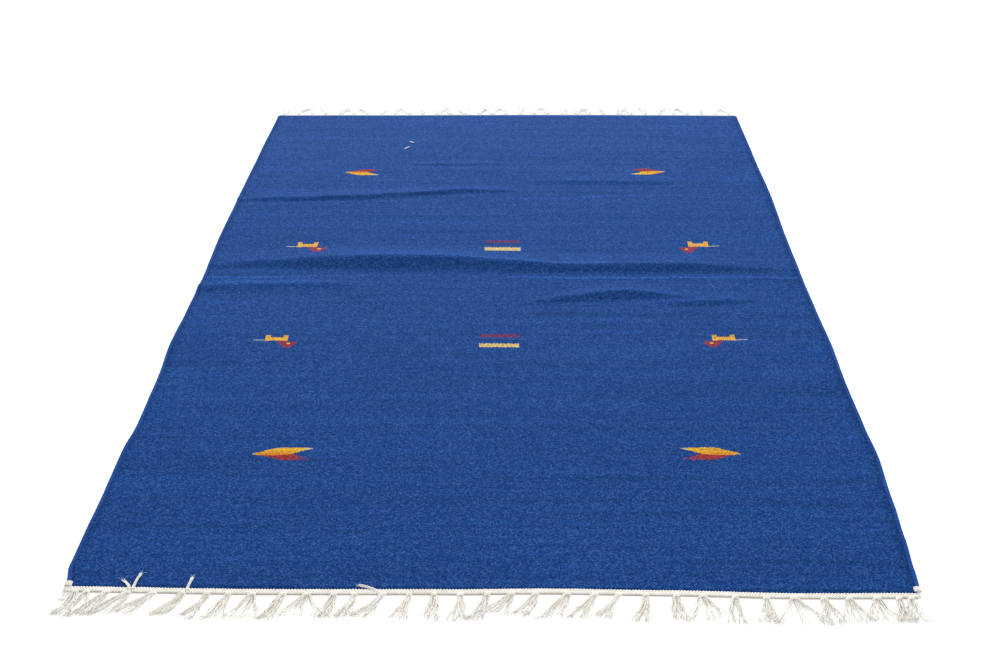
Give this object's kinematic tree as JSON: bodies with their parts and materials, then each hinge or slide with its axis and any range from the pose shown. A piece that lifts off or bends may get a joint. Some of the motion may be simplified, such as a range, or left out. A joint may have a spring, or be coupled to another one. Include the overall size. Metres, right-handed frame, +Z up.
{
  "type": "kilim rug",
  "caption": "Flat-woven blue wool rug that lies on the floor with its storage folds, with corded sides and a knotted cotton fringe at both ends.",
  "frame": {"origin": "on the floor under the middle of the rug with its fringes", "axes": "+X across the rug's width, +Y along its length from the front fringe to the back fringe, +Z up"},
  "size_m": [1.207, 1.8941, 0.0173],
  "materials": {
    "wool_field": "matte weft-faced wool weave, heathered blue with yellow and red motifs",
    "wool_cord": "matte blue wool yarn wrapped round the side cords",
    "cotton": "matte unbleached cotton yarn"
  },
  "bodies": {
    "root": {"kilim_cloth": "wool_field", "selvedge_left": "wool_cord", "selvedge_right": "wool_cord", "fringe_front": "cotton", "fringe_back": "cotton"}
  },
  "joints": []
}
